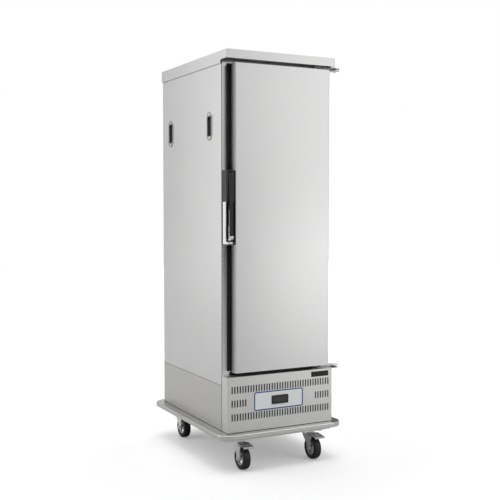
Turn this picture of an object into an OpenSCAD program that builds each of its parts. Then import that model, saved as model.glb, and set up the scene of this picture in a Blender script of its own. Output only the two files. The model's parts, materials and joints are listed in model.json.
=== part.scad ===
// Enclosed refrigerated tray cart: an insulated upright cabinet for gastronorm trays,
// with one hinged door, a cooling unit in its foot and a bumper platform on castors.
// Millimetres. Origin on the floor under the middle of the platform, front towards -Y,
// hinge side towards +X, +Z up.

/* [Cabinet] */
// Width across the side panels
body_w = 516; // [500:2:560]
// Depth from the face frame to the back
body_d = 652; // [640:2:720]
// Height from the platform to the top of the cap
body_h = 1600; // [1450:10:1750]
// Height of the side panel seam above the platform
seam_h = 194; // [170:2:220]
// Thickness of the outer sheets
sheet_t = 1.5; // [1:0.1:2]
// Outer radius of the bends in the door's skin and the vent cover
bend_r = 3; // [2:0.5:5]
// Thickness of the liner sheet
liner_t = 1.5; // [1:0.1:2]
// Insulated side wall, from outer face to chamber
side_wall = 56; // [50:1:60]
// Insulated back wall, from outer face to chamber
back_wall = 46; // [40:1:60]
// Lap of the door over the chamber's top and bottom edges
door_lap = 22; // [16:1:40]
// Thickness of the face frame round the chamber
frame_t = 2; // [1.5:0.5:3]
// Gap between the face frame and the side panels
frame_gap = 1; // [0.5:0.1:1.5]

/* [Cap] */
// Projection of the cap in front of the face frame
cap_front = 61; // [58:1:80]
// Overhang of the cap at the sides and back
cap_over = 5; // [4:0.5:10]
// Height of the cap's side and back skirts
skirt_h = 51; // [48:1:70]
// Height of the cap's front lip
lip_h = 36; // [30:1:40]
// Depth of the folded hem under the front lip
hem_d = 14; // [8:1:20]
// Open seam at the cap's front corners
cap_seam = 0.8; // [0.4:0.1:1.5]

/* [Platform] */
// Overhang of the bumper at the sides
bumper_over = 41; // [36:1:60]
// Overhang of the bumper in front of the vent cover
bumper_front = 36.5; // [34:0.5:50]
// Overhang of the bumper behind the body
bumper_back = 45.5; // [36:0.5:60]
// Height of the rounded bumper edge
bumper_h = 21; // [16:1:30]
// Radius of the bumper's upper and lower edges
bumper_edge = 4; // [2:0.5:6]
// Corner radius of the platform
bumper_r = 55; // [45:1:70]
// Width of the solid bumper rim
rim_w = 16; // [14:1:20]
// Thickness of the platform sheet
deck_t = 3; // [2:0.5:4]
// Height of the cross members over the castors
member_h = 35; // [25:1:45]
// Width of the cross members
member_w = 96; // [90:2:120]

/* [Castors] */
// Wheel diameter over the tyre
wheel_d = 100; // [95:1:105]
// Tyre width
wheel_w = 34; // [28:1:36]
// Tyre depth, from tread to hub
tyre_t = 20; // [12:1:22]
// Distance from the swivel axis to the axle
trail = 33; // [28:1:36]
// Distance of the front swivel axes from the middle, across
front_castor_x = 175; // [165:1:195]
// Distance of the rear swivel axes from the middle, across
rear_castor_x = 190; // [165:1:195]
// Distance of the swivel axes from the middle, front and back
castor_y = 300; // [290:1:305]
// Thickness of the fork's legs and crown
fork_t = 3; // [2.5:0.5:4]
// Radius of the axle bolt
axle_r = 6; // [5:0.5:7]
// Length of the castor's top plate
plate_l = 100; // [96:1:110]
// Width of the castor's top plate
plate_w = 85; // [80:1:90]
// Thickness of the castor's top plate
plate_t = 4; // [3:0.5:5]
// Width of the brake pedal
pedal_w = 50; // [48:1:56]
// Reach of the brake pedal from the swivel axis
pedal_reach = 94; // [90:1:95]

/* [Vent cover] */
// Projection of the vent cover in front of the face frame
cover_d = 57; // [50:1:60]
// Height of the vent cover
cover_h = 237; // [230:1:250]
// Slots in a full row
slot_count = 38; // [30:2:40]
// Slots at each end of the middle row
end_slots = 6; // [3:1:7]
// Distance of the last slots from the sides
slot_margin = 21.2; // [16:0.1:30]
// Slot width
slot_w = 6; // [4:0.5:7]
// Slot height
slot_h = 31; // [24:1:32]
// Distance between the rows of slots
row_pitch = 58; // [52:1:58]
// Height of the lowest row's middle above the platform
row_z = 66; // [60:1:68]

/* [Controls] */
// Width of the control plate
label_w = 242; // [200:2:260]
// Height of the control plate
label_h = 82; // [60:1:82]
// Thickness of the control plate
label_t = 1; // [0.5:0.1:1.5]
// Offset of the control plate from the middle
label_x = -13; // [-20:1:20]
// Height of the control plate's middle above the platform
label_z = 124.5; // [120:0.5:128]
// Width of the controller's front
ctrl_w = 81; // [70:1:90]
// Height of the controller's front
ctrl_h = 37; // [32:1:40]
// Thickness of the controller's front
ctrl_t = 3; // [2.5:0.5:5]
// Black border round the screen
ctrl_border = 7; // [6:0.5:8]
// Travel of a controller key
key_travel = 0.6; // [0.4:0.1:0.8]
// Width of the bare badge plate
badge_w = 88; // [60:1:100]
// Height of the bare badge plate
badge_h = 23; // [15:1:26]

/* [Door] */
// Free space left of the door for the latch
latch_gap = 39.5; // [38:0.5:41]
// Free space right of the door
hinge_gap = 17; // [14:0.5:22]
// Gap between the door and the cap and cover
door_gap = 15; // [14:0.5:18]
// Gap between the door and the face frame, filled by the gasket
gasket_gap = 5.5; // [5:0.5:8]
// Door thickness
door_t = 47.5; // [45:0.5:52]
// Depth of the door skin's folded edge
skin_fold = 36; // [8:1:38]
// Thickness of the door skin
skin_t = 1.2; // [1:0.1:1.5]
// Width of the plastic edge profile
edge_w = 14; // [10:1:16]
// Width of the gasket
gasket_w = 12; // [10:0.5:13]

/* [Hinges] */
// Distance of the pivot from the side of the body
pivot_out = 11; // [11:0.5:14]
// Distance of the pivot behind the door's front face
pivot_in = 3.5; // [2:0.5:8]
// Radius of the hinge lugs
lug_r = 21; // [16:0.5:21]
// Thickness of the hinge plates
hinge_t = 4; // [3:0.5:4.5]
// Radius of the hinge pins
pin_r = 5; // [4:0.5:6]
// Height of the plate screwed to the door's edge
hinge_leaf_h = 50; // [40:1:80]

/* [Latch] */
// Height of the latch housing
latch_h = 311; // [290:1:340]
// Height of the housing's middle above the platform
latch_z = 948.5; // [900:0.5:1000]
// Height of the finger recess
recess_h = 166; // [150:1:176]
// Height of the chrome band under the recess
band_h = 10; // [6:1:14]
// Width of the lever
lever_w = 18; // [14:0.5:18]
// Thickness of the lever
lever_t = 10; // [8:0.5:11]
// Set-back of the housing's front above the finger recess
latch_step = 8; // [4:0.5:9]
// Height of the lever's chrome foot
tip_h = 20; // [16:1:24]
// Length of the lever's arm from its pivot to the bolt
arm_l = 24; // [22:0.5:26]
// Radius of the bolt
bolt_r = 4; // [3.5:0.5:4.5]

/* [Side grips] */
// Width of a grip plate
grip_w = 54; // [48:1:58]
// Height of a grip plate
grip_h = 124; // [116:1:140]
// Width of the finger cup
cup_w = 36; // [32:1:40]
// Height of the finger cup
cup_h = 84; // [70:1:88]
// Depth of the finger cup
cup_d = 28; // [24:1:36]
// Height of the grips above the platform
grip_z = 1297; // [1200:1:1350]
// Distance of the front grips behind the face frame
grip_front = 118; // [100:1:160]
// Distance between front and rear grips
grip_span = 434; // [380:1:460]

/* [Chamber] */
// Width of a gastronorm tray
tray_w = 325; // [320:1:326]
// Play between a tray and the runners, each side
tray_play = 3; // [2:0.5:4]
// Tray levels
tray_levels = 14; // [10:1:14]
// Height between the tray levels
tray_pitch = 80; // [65:1:84]
// Depth that a runner supports under a tray's edge
ledge_w = 18; // [15:1:20]
// Drop of the runner's stiffening flange
flange_h = 18; // [12:1:22]
// Depth of a rack post
post_d = 25; // [20:1:30]
// Depth of the air duct behind the chamber
duct_d = 46; // [42:1:52]
// Outer radius of the evaporator fan
evap_fan_r = 50; // [40:1:55]

/* [Cooling unit] */
// Radius of the compressor pot
comp_r = 68; // [60:1:75]
// Height of the compressor
comp_h = 176; // [150:1:180]
// Width of the condenser
cond_w = 300; // [240:2:330]
// Height of the condenser
cond_h = 180; // [150:1:190]
// Depth of the condenser
cond_d = 44; // [36:1:50]
// Outer radius of the condenser fan
cond_fan_r = 80; // [70:1:85]

/* [Hidden] */
$fn = 48;
seat = 0.3;               // gap between pieces that don't touch
run = 0.05;               // radial clearance of a running fit
slide = 0.6;              // side play of the lever and the bolt
hole_play = 0.2;          // radial play of a screw in its hole

// Levels
castor_h = wheel_d + 28;                       // floor to castor plate top
deck_z = castor_h + member_h + deck_t;         // top of the platform
bumper_z = deck_z - bumper_h;                  // underside of the bumper rim
seam_z = deck_z + seam_h;
cover_z = deck_z + cover_h;                    // top of the vent cover
cap_z = deck_z + body_h;                       // top of the cap
panel_top = cap_z - sheet_t;                   // underside of the cap's sheet

// Plan
side_x = body_w / 2;
deck_x = side_x + bumper_over;
deck_y = (body_d + cover_d + bumper_front + bumper_back) / 2;
back_y = deck_y - bumper_back;
face_y = back_y - body_d;                      // front of the face frame
cover_y = face_y - cover_d;                    // front of the vent cover
chamber_x = side_x - side_wall;
chamber_y = back_y - back_wall;

// Door
door_x0 = -side_x + latch_gap;
door_x1 = side_x - hinge_gap;
door_z0 = cover_z + door_gap;
door_z1 = cap_z - skirt_h;
chamber_z0 = door_z0 + door_lap;
chamber_z1 = door_z1 - door_lap;
door_back = face_y - gasket_gap;
door_front = door_back - door_t;
pivot_x = side_x + pivot_out;
pivot_y = door_front + pivot_in;

// Latch
latch_x0 = -side_x + 0.5;                      // outer side of the housing
latch_z0 = deck_z + latch_z - latch_h / 2;
latch_z1 = latch_z0 + latch_h;
latch_y0 = door_front - 0.5;                   // front of the housing
latch_y1 = door_back + 1;                      // back of the housing
recess_z0 = latch_z0 + 3 + band_h;
recess_z1 = recess_z0 + recess_h;
cheek_t = 3;                                   // walls of the finger recess
band_w = 25;                                   // length of the chrome band across the front
recess_y = latch_y1 - 12;                      // floor of the finger recess
strip_d = 26;                                  // width of the chrome strip
strip_y0 = recess_y + 3.5 - strip_d;
lever_x = (latch_x0 + door_x0) / 2;            // middle of lever, bolt and keeper
lever_z0 = recess_z0 + 4;                      // lower end of the lever's foot
lever_pivot_y = latch_y0 + lever_t + 3;
lever_pivot_z = latch_z1 - 30;
lever_top = lever_pivot_z + 20;
trunnion_r = 3;
tip_strip_h = 60;                              // chrome strip up the lever's outer side
tip_over = 2;                                  // wall of the chrome foot
boss_r = 6;                                    // lever's boss round its pivot
nose_r = 3;                                    // round end of the lever's arm
bolt_y = lever_pivot_y + arm_l;
block_h = 16;                                  // bolt's driving block
tongue_z = lever_pivot_z + 14;                 // underside of the keeper's tongue
tongue_t = 3;
bolt_top = tongue_z + tongue_t + 5;
bolt_travel = 12;
chamber_w = 23;                                // room for the bolt inside the housing
guide_h = 13;                                  // bolt's lower guide
bolt_tip = 3;                                  // tapered end of the bolt
bolt_z0 = lever_pivot_z - 48;                  // lower end of the bolt

// Vent slots
slot_pitch = (body_w - 2 * slot_margin) / (slot_count - 1);

// Castor
hub_z = wheel_d / 2;
hub_r = wheel_d / 2 - tyre_t;
leg_x = wheel_w / 2 + 2;                       // inner face of a fork leg
crown_z = wheel_d + 9;                         // underside of the fork's crown
race_z = crown_z + fork_t + 5;                 // gap between the two races
race_r = 25;
king_r = 6;
pedal_pivot_y = -42;
pedal_pivot_z = hub_z + 58;
pedal_slope = 0.1;
pedal_t = 2.5;
bolt_dx = 40;                                  // castor bolt pattern, half spacing
bolt_dy = 30;
castor_bolt_r = 4;

// Grips
grip_t = 1.6;
cup_t = 1.2;
grip_ys = [face_y + grip_front, face_y + grip_front + grip_span];
grip_zc = deck_z + grip_z;
grip_screw = grip_h / 2 - 11;

// Racks and duct
runner_t = 1.5;
post_x = tray_w / 2 + tray_play + runner_t;    // inner face of the posts
post_w = chamber_x - post_x - 2 * seat;        // a rack fills the space beside the trays
runner_y0 = face_y + 18;
duct_y = chamber_y - duct_d;                   // front of the air duct
runner_y1 = duct_y - 12;
level_z0 = chamber_z0 + 60;
post_ys = [runner_y0 + 60, runner_y1 - 60];
duct_w = 2 * chamber_x - 70;
pipe_r = 4;
pipe_y = chamber_y - 17;
liquid_x = duct_w / 2 - 25;
suction_x = duct_w / 2 - 11;
duct_z0 = chamber_z0 + 30;
duct_z1 = chamber_z1 - 30;
evap_fan_z = chamber_z1 - 180;

// Screws
screw_r = 2;
screw_head_r = 4.5;
screw_head_h = 1.8;
cap_screw_ys = [face_y + 25, (face_y + back_y) / 2 - 16, back_y - 46];
cap_screw_z = cap_z - 39;
panel_screw_ys = [face_y + 19, back_y - 21];
panel_screw_z = seam_z + 18;

steel = "Silver";
dark = "#26272a";
zinc = "#b9bcc0";
chrome = "#dfe3e6";
foam = "#e8dfb8";
rubber = "#1c1c1e";
copper = "#b87346";

// ---------------------------------------------------------------- helpers

// Box between two corners
module span(a, b) {
    translate(a) cube(b - a);
}

// Flat outline in X and Z, raised along +Y from y
module front_sheet(y, t) {
    translate([0, y + t, 0]) rotate([90, 0, 0]) linear_extrude(t) children();
}

// Flat outline in Y and Z, raised along +X from x
module side_sheet(x, t) {
    translate([x, 0, 0]) rotate([90, 0, 90]) linear_extrude(t) children();
}

// Outline of a rectangle between two corners with round corners of radius r
function round_box(a, b, r, n = 6) = [
    for (c = [[b.x - r, b.y - r, 0], [a.x + r, b.y - r, 90], [a.x + r, a.y + r, 180],
              [b.x - r, a.y + r, 270]])
        for (i = [0:n])
            [c.x + r * cos(c.z + 90 * i / n), c.y + r * sin(c.z + 90 * i / n)]];

// Outline of an upright slot with eased ends
function slot_outline(x, z, w, h) = let (e = w * 0.3) [
    [x - w / 2, z - h / 2 + e], [x - w / 2 + e, z - h / 2], [x + w / 2 - e, z - h / 2],
    [x + w / 2, z - h / 2 + e], [x + w / 2, z + h / 2 - e], [x + w / 2 - e, z + h / 2],
    [x - w / 2 + e, z + h / 2], [x - w / 2, z + h / 2 - e]];

// An outline pierced by holes that all have the same number of points
module pierced(outline, holes) {
    n = len(outline);
    m = len(holes[0]);
    polygon(concat(outline, [for (h = holes) each h]),
        concat([[for (i = [0:n - 1]) i]],
            [for (k = [0:len(holes) - 1]) [for (i = [0:m - 1]) n + k * m + i]]));
}

// Rectangle as a list of points
function box_outline(a, b) = [a, [b.x, a.y], b, [a.x, b.y]];

// Hex head or nut, standing on z = 0
module hex(r, h) {
    cylinder(r = r, h = h, $fn = 6);
}

// Screw along +X: its head stands on x = 0 outside, its shank runs the length l inwards
module screw(l) {
    rotate([0, 90, 0]) union() {
        translate([0, 0, -screw_head_h]) cylinder(r1 = screw_head_r - 1, r2 = screw_head_r,
            h = screw_head_h);
        cylinder(r = screw_r, h = l);
    }
}

// ---------------------------------------------------------------- platform

// Section of the platform from its corner's centre to its eased edge
function edge_section(w) = let (r = bumper_edge, n = 5) concat([[0, 0]],
    [for (i = [0:n]) [w - r + r * sin(90 * i / n), r - r * cos(90 * i / n)]],
    [for (i = [0:n]) [w - r + r * cos(90 * i / n), bumper_h - r + r * sin(90 * i / n)]],
    [[0, bumper_h]]);

module platform_slab() {
    for (sx = [0, 1], sy = [0, 1])
        mirror([sx, 0, 0]) mirror([0, sy, 0])
            translate([deck_x - bumper_r, deck_y - bumper_r, bumper_z])
                rotate_extrude(angle = 90) polygon(edge_section(bumper_r));
    for (s = [0, 1]) {
        mirror([s, 0, 0]) translate([0, deck_y - bumper_r, bumper_z]) rotate([90, 0, 0])
            linear_extrude(2 * (deck_y - bumper_r)) polygon(edge_section(deck_x));
        mirror([0, s, 0]) translate([-deck_x + bumper_r, 0, bumper_z]) rotate([90, 0, 90])
            linear_extrude(2 * (deck_x - bumper_r)) polygon(edge_section(deck_y));
    }
}

module castor_spots() {
    for (sx = [-1, 1], sy = [-1, 1])
        translate([sx * (sy < 0 ? front_castor_x : rear_castor_x), sy * castor_y, 0])
            children();
}

module castor_bolt_spots() {
    castor_spots() for (dx = [-1, 1], dy = [-1, 1])
        translate([dx * bolt_dx, dy * bolt_dy, 0]) children();
}

module base_frame() color(steel) difference() {
    union() {
        difference() {
            platform_slab();
            translate([0, 0, bumper_z - 1]) linear_extrude(bumper_h - deck_t + 1)
                polygon(round_box([-deck_x + rim_w, -deck_y + rim_w],
                    [deck_x - rim_w, deck_y - rim_w], bumper_r - rim_w));
        }
        for (s = [-1, 1])
            span([-side_x, s * castor_y - member_w / 2, castor_h],
                [side_x, s * castor_y + member_w / 2, deck_z - deck_t / 2]);
    }
    castor_bolt_spots() translate([0, 0, castor_h - 1])
        cylinder(r = castor_bolt_r + hole_play, h = 13);
}

// ---------------------------------------------------------------- castors

module castor_plates() color(zinc) castor_spots() difference() {
    union() {
        translate([-plate_l / 2, -plate_w / 2, castor_h - plate_t])
            cube([plate_l, plate_w, plate_t]);
        translate([0, 0, race_z + seat]) cylinder(r = race_r, h = castor_h - plate_t - race_z);
    }
    for (dx = [-1, 1], dy = [-1, 1])
        translate([dx * bolt_dx, dy * bolt_dy, castor_h - plate_t - 1])
            cylinder(r = castor_bolt_r + hole_play, h = plate_t + 2);
}

// Kingpin that carries the fork under its plate
module kingpins() color(zinc) castor_spots() {
    translate([0, 0, crown_z - seat - 1]) cylinder(r = king_r, h = race_z - crown_z + 2 * seat + 1);
    translate([0, 0, crown_z - seat - 4]) cylinder(r = 10, h = 4);
}

module castor_fasteners() color(zinc) castor_bolt_spots() {
    translate([0, 0, castor_h - plate_t - 5]) hex(7, 5);
    translate([0, 0, castor_h - plate_t]) cylinder(r = castor_bolt_r, h = plate_t + 11);
}

// Outline of a fork leg in Y and Z, measured from the swivel axis
function leg_outline() = [[22, crown_z + fork_t], [24, crown_z - 2], [12, crown_z - 16],
    [-trail + 17, hub_z + 16], [-trail + 13, hub_z - 5], [-trail + 6, hub_z - 12],
    [-trail - 6, hub_z - 12], [-trail - 13, hub_z - 5], [-trail - 15, hub_z + 30],
    [-trail - 17, hub_z + 48], [-trail - 17, hub_z + 58], [-trail - 12, hub_z + 60.5]];

module fork(brake) color(zinc) {
    difference() {
        union() {
            for (s = [0, 1]) mirror([s, 0, 0]) side_sheet(leg_x, fork_t) polygon(leg_outline());
            span([-leg_x - fork_t, -30, crown_z], [leg_x + fork_t, 22, crown_z + fork_t]);
            translate([0, 0, crown_z]) cylinder(r = race_r - 1, h = race_z - crown_z);
            if (brake)
                for (s = [0, 1]) mirror([s, 0, 0])
                    translate([leg_x + fork_t, pedal_pivot_y, pedal_pivot_z])
                        rotate([0, 90, 0]) cylinder(r = 3, h = 3);
        }
        translate([0, 0, crown_z - 1]) cylinder(r = king_r + run, h = race_z - crown_z + 2);
        translate([-leg_x - fork_t - 1, -trail, hub_z]) rotate([0, 90, 0])
            cylinder(r = axle_r + hole_play, h = 2 * (leg_x + fork_t + 1));
    }
    // axle bolt with its head and nut
    translate([-leg_x - fork_t, -trail, hub_z]) rotate([0, 90, 0])
        cylinder(r = axle_r, h = 2 * (leg_x + fork_t));
    for (s = [0, 1]) mirror([s, 0, 0]) translate([leg_x + fork_t, -trail, hub_z])
        rotate([0, 90, 0]) hex(axle_r + 4, 5);
}

// Half section of the tyre: radius across, width up
function tyre_section() = let (r = wheel_d / 2, h = wheel_w / 2) [[hub_r, -h + 3],
    [hub_r + 4, -h + 0.5], [r - 9, -h], [r - 5, -h + 0.6], [r - 2.2, -h + 2.6],
    [r - 0.6, -h + 6], [r, -h + 10], [r, h - 10], [r - 0.6, h - 6], [r - 2.2, h - 2.6],
    [r - 5, h - 0.6], [r - 9, h], [hub_r + 4, h - 0.5], [hub_r, h - 3]];

// Half section of the hub: rim, web and boss
function hub_section() = let (b = axle_r + run, h = wheel_w / 2) [[b, -h - 1.5],
    [13, -h - 1.5], [14, -4], [hub_r - 6, -4], [hub_r - 4, -h + 3], [hub_r, -h + 3],
    [hub_r, h - 3], [hub_r - 4, h - 3], [hub_r - 6, 4], [14, 4], [13, h + 1.5], [b, h + 1.5]];

module on_axle() {
    translate([0, -trail, hub_z]) rotate([0, 90, 0]) children();
}

module hub() color(zinc) on_axle() rotate_extrude() polygon(hub_section());

module tyre() color(rubber) on_axle() rotate_extrude() polygon(tyre_section());

// Height of the pedal's top face at a distance y in front of the swivel axis
function pedal_z(y) = hub_z + 65 - pedal_slope * (y - 34);

module pedal() color(steel) difference() {
    union() {
        // tread plate with its turned-down tip
        side_sheet(-pedal_w / 2, pedal_w) polygon([
            [-34, pedal_z(34)], [-pedal_reach + 1, pedal_z(pedal_reach)],
            [-pedal_reach, pedal_z(pedal_reach) - 1], [-pedal_reach, pedal_z(pedal_reach) - 7],
            [-pedal_reach + pedal_t, pedal_z(pedal_reach) - 7],
            [-pedal_reach + pedal_t, pedal_z(pedal_reach) - pedal_t],
            [-34, pedal_z(34) - pedal_t]]);
        // cheeks on the fork's stubs
        for (s = [0, 1]) mirror([s, 0, 0]) side_sheet(leg_x + fork_t + seat, 2)
            polygon([[-34, pedal_z(34) - 1], [-34, pedal_pivot_z - 2], [-38, pedal_pivot_z - 6],
                [-46, pedal_pivot_z - 6], [-50, pedal_pivot_z - 2], [-60, pedal_z(60) - 1]]);
        // brake shoe over the tyre
        span([-10, -58, hub_z + 48.6], [10, -51, pedal_z(58) - 1]);
    }
    for (s = [0, 1]) mirror([s, 0, 0])
        translate([leg_x + fork_t - 1, pedal_pivot_y, pedal_pivot_z]) rotate([0, 90, 0])
            cylinder(r = 3 + run, h = 5);
    // slot through the tread
    span([-12, -76, hub_z + 50], [12, -67, hub_z + 70]);
}

// ---------------------------------------------------------------- outer body

module grip_cut_outline(y) {
    polygon(box_outline([y - cup_w / 2 - cup_t - seat, grip_zc - cup_h / 2 - cup_t - seat],
        [y + cup_w / 2 + cup_t + seat, grip_zc + cup_h / 2 + cup_t + seat]));
}

module side_panel() color(steel) difference() {
    side_sheet(side_x - sheet_t, sheet_t) difference() {
        polygon(box_outline([face_y, seam_z + 0.6], [back_y, panel_top]));
        for (y = grip_ys) {
            grip_cut_outline(y);
            for (s = [-1, 1]) translate([y, grip_zc + s * grip_screw])
                circle(r = screw_r + hole_play);
        }
        for (y = panel_screw_ys) translate([y, panel_screw_z]) circle(r = screw_r + hole_play);
    }
}

module lower_side_panels() color(steel)
    for (s = [0, 1]) mirror([s, 0, 0]) side_sheet(side_x - sheet_t, sheet_t)
        polygon(box_outline([face_y, deck_z], [back_y, seam_z]));

module left_panel() mirror([1, 0, 0]) side_panel();
module right_panel() side_panel();

inlet_x = side_x - 90;
inlet_z = deck_z + 70;
inlet_w = 28;
inlet_h = 21;

module rear_panel() color(steel) difference() {
    front_sheet(back_y - sheet_t, sheet_t)
        pierced(box_outline([-side_x + sheet_t, deck_z], [side_x - sheet_t, panel_top]),
            [for (i = [0:19], k = [0:1])
                slot_outline((i - 15) * slot_pitch, deck_z + 60 + k * 60, slot_w, 40)]);
    span([inlet_x - inlet_w / 2 - seat, back_y - 10, inlet_z - inlet_h / 2 - seat],
        [inlet_x + inlet_w / 2 + seat, back_y + 10, inlet_z + inlet_h / 2 + seat]);
}

module power_inlet() color(dark) {
    difference() {
        union() {
            span([inlet_x - 24, back_y, inlet_z - 14], [inlet_x + 24, back_y + 2.5, inlet_z + 14]);
            span([inlet_x - inlet_w / 2, back_y - 20, inlet_z - inlet_h / 2],
                [inlet_x + inlet_w / 2, back_y + 1, inlet_z + inlet_h / 2]);
        }
        span([inlet_x - inlet_w / 2 + 2, back_y - 18, inlet_z - inlet_h / 2 + 2],
            [inlet_x + inlet_w / 2 - 2, back_y + 3, inlet_z + inlet_h / 2 - 2]);
    }
    for (dx = [-7, 0, 7])
        span([inlet_x + dx - 1, back_y - 18, inlet_z - 2 + (dx == 0 ? 3 : -2)],
            [inlet_x + dx + 1, back_y - 8, inlet_z + 2 + (dx == 0 ? 3 : -2)]);
}

// Holes for the refrigerant pipes through the insulated floor
module pipe_holes() {
    for (x = [liquid_x, suction_x]) translate([x, pipe_y, seam_z - 1])
        cylinder(r = pipe_r + 0.5, h = chamber_z0 - seam_z + 2);
}

module face_frame() color(steel)
    front_sheet(face_y, frame_t)
        pierced(box_outline([-side_x + sheet_t + frame_gap, seam_z],
                [side_x - sheet_t - frame_gap, panel_top]),
            [box_outline([-chamber_x, chamber_z0], [chamber_x, chamber_z1])]);

module insulation() color(foam) difference() {
    span([-side_x + sheet_t, face_y + frame_t, seam_z],
        [side_x - sheet_t, back_y - sheet_t, panel_top]);
    span([-chamber_x - liner_t, face_y, chamber_z0 - liner_t],
        [chamber_x + liner_t, chamber_y + liner_t, chamber_z1 + liner_t]);
    for (s = [-1, 1], y = grip_ys)
        translate([s * (side_x - cup_d / 2), y, grip_zc])
            cube([cup_d + 2 * cup_t + 1, cup_w + 2 * cup_t + 1, cup_h + 2 * cup_t + 1], center = true);
    pipe_holes();
}

module inner_liner() color(steel) difference() {
    span([-chamber_x - liner_t, face_y + frame_t, chamber_z0 - liner_t],
        [chamber_x + liner_t, chamber_y + liner_t, chamber_z1 + liner_t]);
    span([-chamber_x, face_y, chamber_z0], [chamber_x, chamber_y, chamber_z1]);
    pipe_holes();
}

// Side of the cap in Y and Z, with the step between skirt and front lip
function cap_side() = let (y0 = face_y - cap_front, y1 = back_y + cap_over / 2, r = 6,
    lip_z = cap_z - lip_h, skirt_z = cap_z - skirt_h) concat(
    [[y1, cap_z], [y0, cap_z], [y0, lip_z]],
    [for (a = [90:-18:0]) [face_y - r + r * cos(a), lip_z - r + r * sin(a)]],
    [[face_y, skirt_z], [y1, skirt_z]]);

module top_cap() color(steel) difference() {
    union() {
        for (s = [0, 1]) mirror([s, 0, 0])
            side_sheet(side_x + cap_over - sheet_t, sheet_t) polygon(cap_side());
        span([-side_x - cap_over + sheet_t, face_y - cap_front, cap_z - sheet_t],
            [side_x + cap_over - sheet_t, back_y + cap_over / 2, cap_z]);
        span([-side_x - cap_over + sheet_t + cap_seam, face_y - cap_front, cap_z - lip_h],
            [side_x + cap_over - sheet_t - cap_seam, face_y - cap_front + sheet_t, cap_z]);
        span([-side_x - cap_over + sheet_t + cap_seam, face_y - cap_front, cap_z - lip_h],
            [side_x + cap_over - sheet_t - cap_seam, face_y - cap_front + hem_d,
                cap_z - lip_h + sheet_t]);
        span([-side_x - cap_over + sheet_t, back_y + cap_over / 2 - sheet_t, cap_z - skirt_h],
            [side_x + cap_over - sheet_t, back_y + cap_over / 2, cap_z]);
    }
    for (y = cap_screw_ys) translate([-side_x - 20, y, cap_screw_z]) rotate([0, 90, 0])
        cylinder(r = screw_r + hole_play, h = 2 * side_x + 40);
}

// ---------------------------------------------------------------- vent cover

slot_xs = [for (i = [0:slot_count - 1]) (i - (slot_count - 1) / 2) * slot_pitch];
end_xs = [for (i = [0:slot_count - 1])
    if (i < end_slots || i >= slot_count - end_slots) slot_xs[i]];
cover_slots = concat(
    [for (k = [0, 2], x = slot_xs) slot_outline(x, deck_z + row_z + k * row_pitch, slot_w, slot_h)],
    [for (x = end_xs) slot_outline(x, deck_z + row_z + row_pitch, slot_w, slot_h)]);
label_zc = deck_z + label_z;
ctrl_x = label_x + 5;                          // the controller sits right of the plate's middle
ctrl_back = cover_y + 16;

module ctrl_hole(play) {
    span([ctrl_x - ctrl_w / 2 + 5 - play, cover_y - 10, label_zc - ctrl_h / 2 + 4 - play],
        [ctrl_x + ctrl_w / 2 - 5 + play, cover_y + 10, label_zc + ctrl_h / 2 - 4 + play]);
}

// Quarter round in X and Y round the centre c, from the angle a to a + 90
function quarter(c, r, a, n = 4) = [for (i = [0:n])
    [c.x + r * cos(a + 90 * i / n), c.y + r * sin(a + 90 * i / n)]];

// The cover's side and its bend into the front, seen from above
function cover_bend() = let (c = [side_x - bend_r, cover_y + bend_r]) concat(
    [[c.x - 1, cover_y]], quarter(c, bend_r, -90), [[side_x, face_y], [side_x - sheet_t, face_y]],
    [for (i = [4:-1:0]) quarter(c, bend_r - sheet_t, -90)[i]], [[c.x - 1, cover_y + sheet_t]]);

module vent_cover() color(steel) difference() {
    union() {
        front_sheet(cover_y, sheet_t)
            pierced(box_outline([-side_x + bend_r, deck_z], [side_x - bend_r, cover_z]),
                cover_slots);
        for (s = [0, 1]) mirror([s, 0, 0])
            translate([0, 0, deck_z]) linear_extrude(cover_h) polygon(cover_bend());
        translate([0, 0, cover_z - sheet_t]) linear_extrude(sheet_t) polygon(concat(
            quarter([-side_x + bend_r, cover_y + bend_r], bend_r, 180),
            quarter([side_x - bend_r, cover_y + bend_r], bend_r, -90),
            [[side_x, face_y], [-side_x, face_y]]));
    }
    ctrl_hole(seat);
}

module control_plate() color("WhiteSmoke") difference() {
    front_sheet(cover_y - label_t, label_t) polygon(round_box(
        [label_x - label_w / 2, label_zc - label_h / 2],
        [label_x + label_w / 2, label_zc + label_h / 2], 10));
    ctrl_hole(seat);
}

key_w = 10;
key_h = 4;
key_xs = [-20, 0, 20];
ctrl_front = cover_y - label_t - ctrl_t;
key_proud = 0.6;
key_depth = 2.2;
key_z = label_zc - ctrl_h / 2 + ctrl_border / 2;

module controller() color(dark) difference() {
    union() {
        front_sheet(ctrl_front, ctrl_t) polygon(round_box(
            [ctrl_x - ctrl_w / 2, label_zc - ctrl_h / 2],
            [ctrl_x + ctrl_w / 2, label_zc + ctrl_h / 2], 4));
        span([ctrl_x - ctrl_w / 2 + 5, ctrl_front + 1, label_zc - ctrl_h / 2 + 4],
            [ctrl_x + ctrl_w / 2 - 5, ctrl_back, label_zc + ctrl_h / 2 - 4]);
    }
    // screen sunk into the front
    span([ctrl_x - ctrl_w / 2 + ctrl_border, ctrl_front - 1, label_zc - ctrl_h / 2 + ctrl_border],
        [ctrl_x + ctrl_w / 2 - ctrl_border, ctrl_front + 0.6, label_zc + ctrl_h / 2 - ctrl_border]);
    for (x = key_xs)
        span([ctrl_x + x - key_w / 2 - hole_play, ctrl_front - 1, key_z - key_h / 2 - hole_play],
            [ctrl_x + x + key_w / 2 + hole_play, ctrl_front + key_depth - key_proud + key_travel
                + 0.2, key_z + key_h / 2 + hole_play]);
}

module key(i) color(dark)
    span([ctrl_x + key_xs[i] - key_w / 2, ctrl_front - key_proud, key_z - key_h / 2],
        [ctrl_x + key_xs[i] + key_w / 2, ctrl_front - key_proud + key_depth, key_z + key_h / 2]);

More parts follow.
